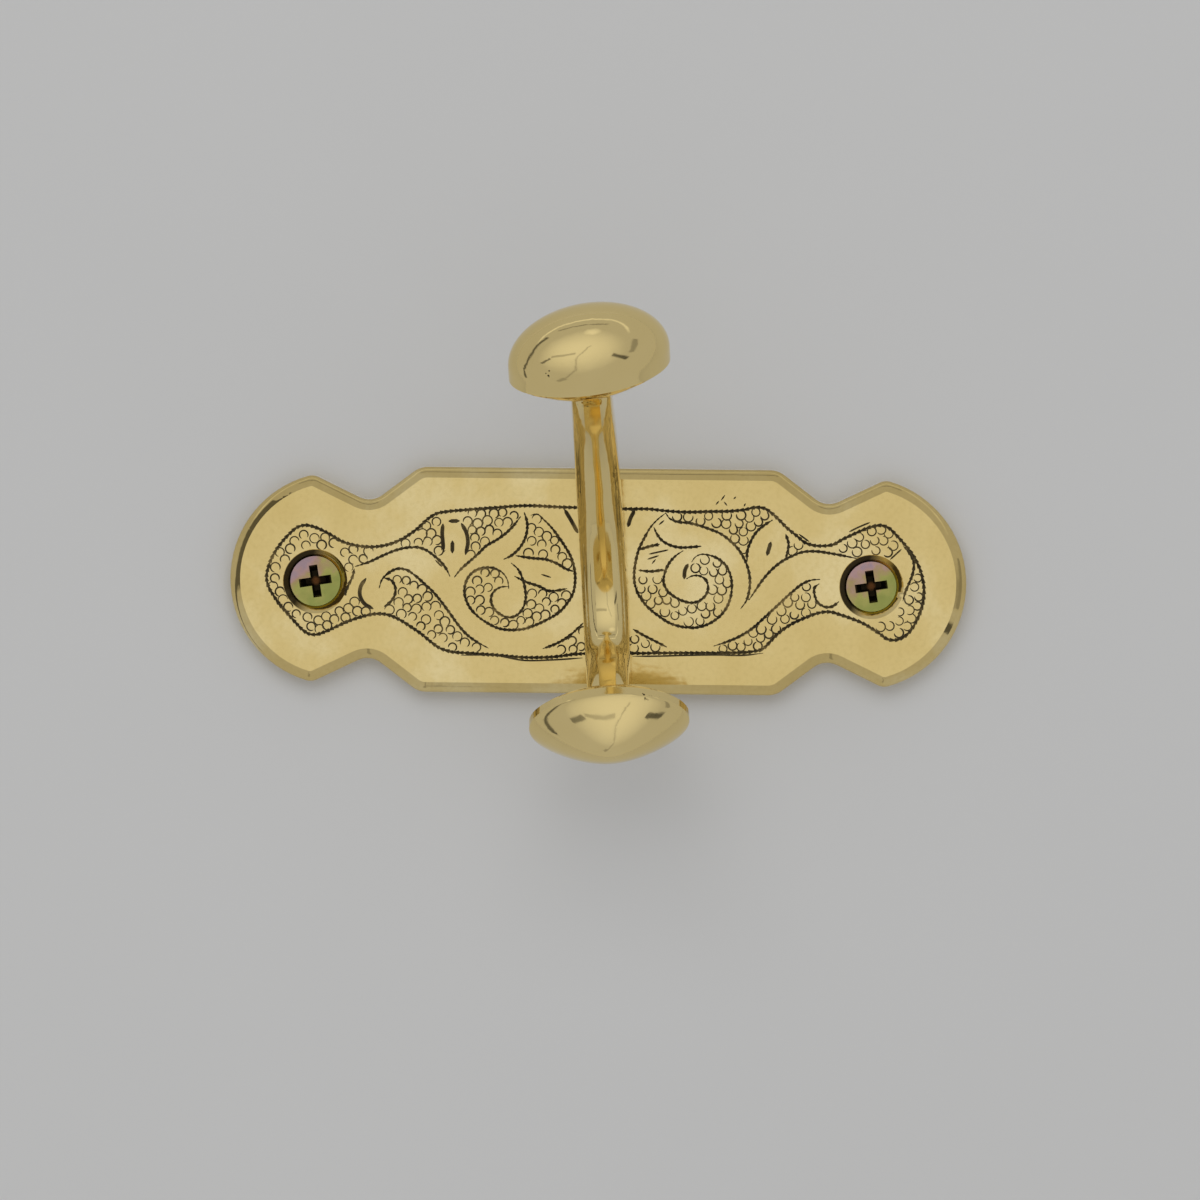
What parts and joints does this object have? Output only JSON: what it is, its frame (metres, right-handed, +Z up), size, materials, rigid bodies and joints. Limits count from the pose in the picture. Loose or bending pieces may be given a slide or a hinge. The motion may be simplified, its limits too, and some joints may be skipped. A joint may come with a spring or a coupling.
{
  "type": "coat hook",
  "caption": "Cast brass coat hook: a strap curving out to an oval domed knob above and one below, on an engraved lobed backplate held by countersunk wood screws.",
  "frame": {"origin": "middle of the backplate's rear face, on the wall plane", "axes": "+X along the plate to the right, +Z up, +Y into the wall; the hook stands out along -Y"},
  "size_m": [0.1, 0.0785, 0.0621],
  "materials": {
    "plate_brass": "polished, engraved lines dark",
    "hook_brass": "polished",
    "screw_zinc": "yellow zinc, iridescent"
  },
  "bodies": {
    "root": {"backplate": "plate_brass", "hook": "hook_brass", "mounting_screws": "screw_zinc"}
  },
  "joints": []
}
